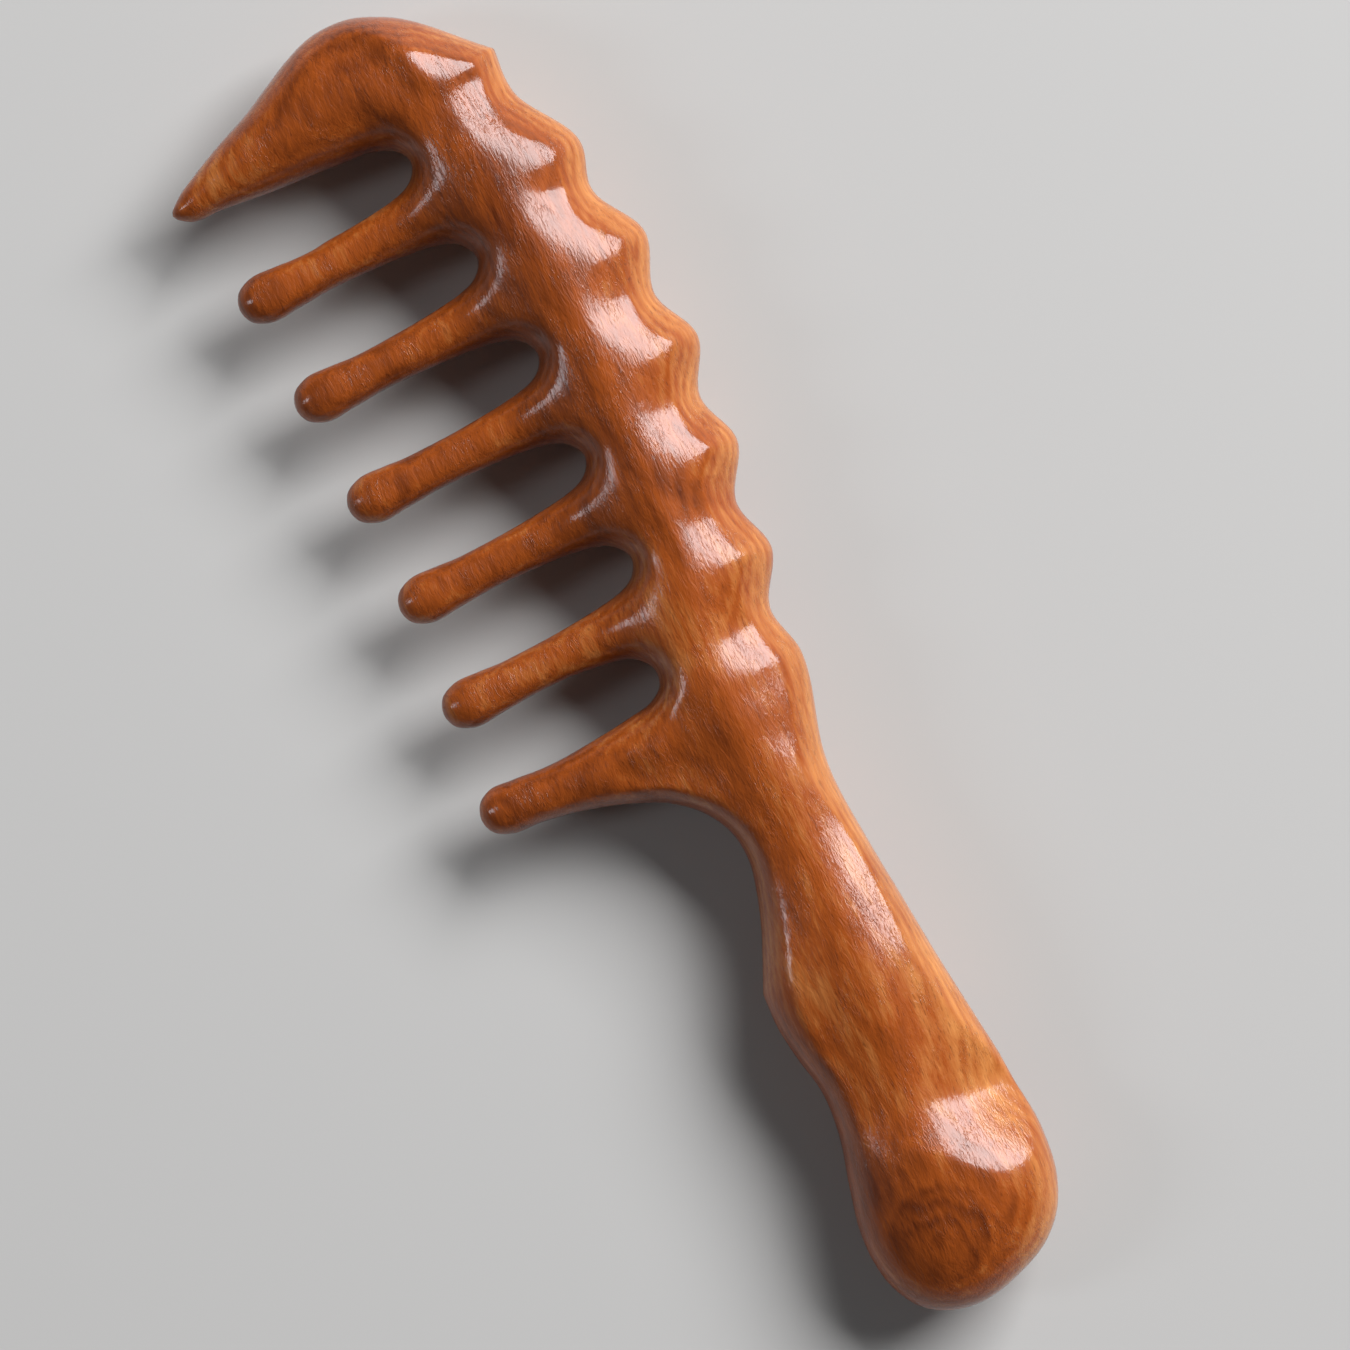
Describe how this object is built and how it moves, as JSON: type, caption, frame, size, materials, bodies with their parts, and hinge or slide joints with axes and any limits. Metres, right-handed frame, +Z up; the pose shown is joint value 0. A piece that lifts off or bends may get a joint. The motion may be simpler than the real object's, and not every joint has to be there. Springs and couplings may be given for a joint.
{
  "type": "wide-tooth hair comb",
  "caption": "Polished wooden wide-tooth comb with a bulb-ended handle, a scalloped knobbed back, round teeth and a curved pointed horn at the head.",
  "frame": {"origin": "centre of the comb's underside as it lies flat on a table: the middle of its bounding box in X and Y, and the resting plane in Z", "axes": "+X along the comb from the handle's bulb to the head, +Y from the back towards the tooth tips, +Z up through the comb's thickness"},
  "size_m": [0.19, 0.0568, 0.018],
  "materials": {
    "back_wood": "polished reddish-brown hardwood, clear gloss",
    "handle_wood": "polished reddish-brown hardwood, clear gloss",
    "horn_wood": "polished reddish-brown hardwood, clear gloss",
    "guard_wood": "polished reddish-brown hardwood, clear gloss",
    "tooth_wood": "polished reddish-brown hardwood, clear gloss"
  },
  "bodies": {
    "root": {"back": "back_wood", "handle": "handle_wood", "horn": "horn_wood", "guard_tooth": "guard_wood", "tooth_1": "tooth_wood", "tooth_2": "tooth_wood", "tooth_3": "tooth_wood", "tooth_4": "tooth_wood", "tooth_5": "tooth_wood"}
  },
  "joints": []
}
